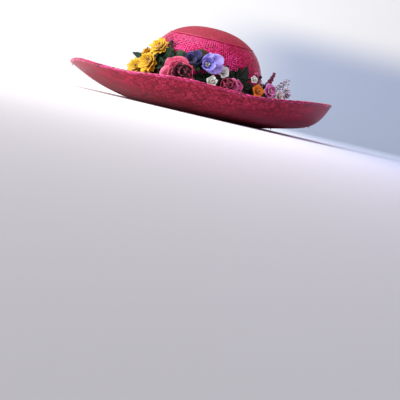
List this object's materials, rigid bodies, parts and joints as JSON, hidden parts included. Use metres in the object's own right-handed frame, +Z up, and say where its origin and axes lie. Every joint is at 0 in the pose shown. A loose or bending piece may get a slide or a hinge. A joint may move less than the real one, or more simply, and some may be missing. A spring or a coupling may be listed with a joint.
{
  "type": "picture hat",
  "caption": "Wide upturned picture hat of woven raspberry straw with a round crown and a garland of cloth flowers, buds and leaves.",
  "frame": {"origin": "centre of the head opening, in the plane that the hat rests on", "axes": "+Z up through the top of the crown, -Y the front of the hat, +X the wearer's left"},
  "size_m": [0.41, 0.438, 0.1384],
  "materials": {
    "crown_straw": "glossy woven straw",
    "brim_straw": "woven straw, satin",
    "edge_straw": "rolled glossy straw",
    "yellow": "matte cloth petals",
    "rose_pink": "matte cloth petals",
    "violet": "matte cloth petals",
    "blue": "matte cloth petals",
    "white": "matte cloth petals",
    "rose_red": "matte cloth petals",
    "pink": "matte cloth petals",
    "orange": "matte cloth petals",
    "lavender": "matte cloth petals",
    "mauve": "matte cloth bud",
    "plum": "matte cloth bud",
    "grey_mauve": "wrapped wire with cloth buds",
    "dark_green": "cloth leaf, satin",
    "olive": "cloth leaf, satin",
    "olive_brown": "cloth leaf, satin"
  },
  "bodies": {
    "root": {"crown": "crown_straw", "brim": "brim_straw", "brim_edge": "edge_straw", "yellow_bloom_1": "yellow", "yellow_bloom_2": "yellow", "yellow_bloom_3": "yellow", "rose_pink": "rose_pink", "violet_bloom": "violet", "pansy_blue": "blue", "white_bloom_1": "white", "white_bloom_2": "white", "rose_red": "rose_red", "pink_bloom": "pink", "white_bloom_3": "white", "orange_bloom": "orange", "lavender_bloom": "lavender", "white_bloom_4": "white", "back_bloom_1": "blue", "back_bloom_2": "rose_pink", "back_bloom_3": "white", "back_bloom_4": "yellow", "back_bloom_5": "rose_red", "back_bloom_6": "lavender", "back_bloom_7": "orange", "back_bloom_8": "yellow", "mauve_bud": "mauve", "pink_bud": "pink", "plum_bud": "plum", "bud_spike": "pink", "sprig_1": "grey_mauve", "sprig_2": "grey_mauve", "sprig_3": "grey_mauve", "leaf_1": "dark_green", "leaf_2": "dark_green", "leaf_3": "dark_green", "leaf_4": "dark_green", "leaf_5": "dark_green", "leaf_6": "dark_green", "leaf_7": "dark_green", "leaf_8": "dark_green", "olive_leaf_1": "olive", "olive_leaf_2": "olive_brown", "olive_leaf_3": "olive", "back_leaf_1": "dark_green", "back_leaf_2": "dark_green", "back_leaf_3": "dark_green", "back_leaf_4": "dark_green", "back_leaf_5": "dark_green", "back_leaf_6": "dark_green", "back_leaf_7": "dark_green", "under_leaf_1": "dark_green", "under_leaf_2": "dark_green", "under_leaf_3": "dark_green", "under_leaf_4": "dark_green", "under_leaf_5": "dark_green", "under_leaf_6": "dark_green", "under_leaf_7": "dark_green", "under_leaf_8": "dark_green", "under_leaf_9": "dark_green", "under_leaf_10": "dark_green"}
  },
  "joints": []
}
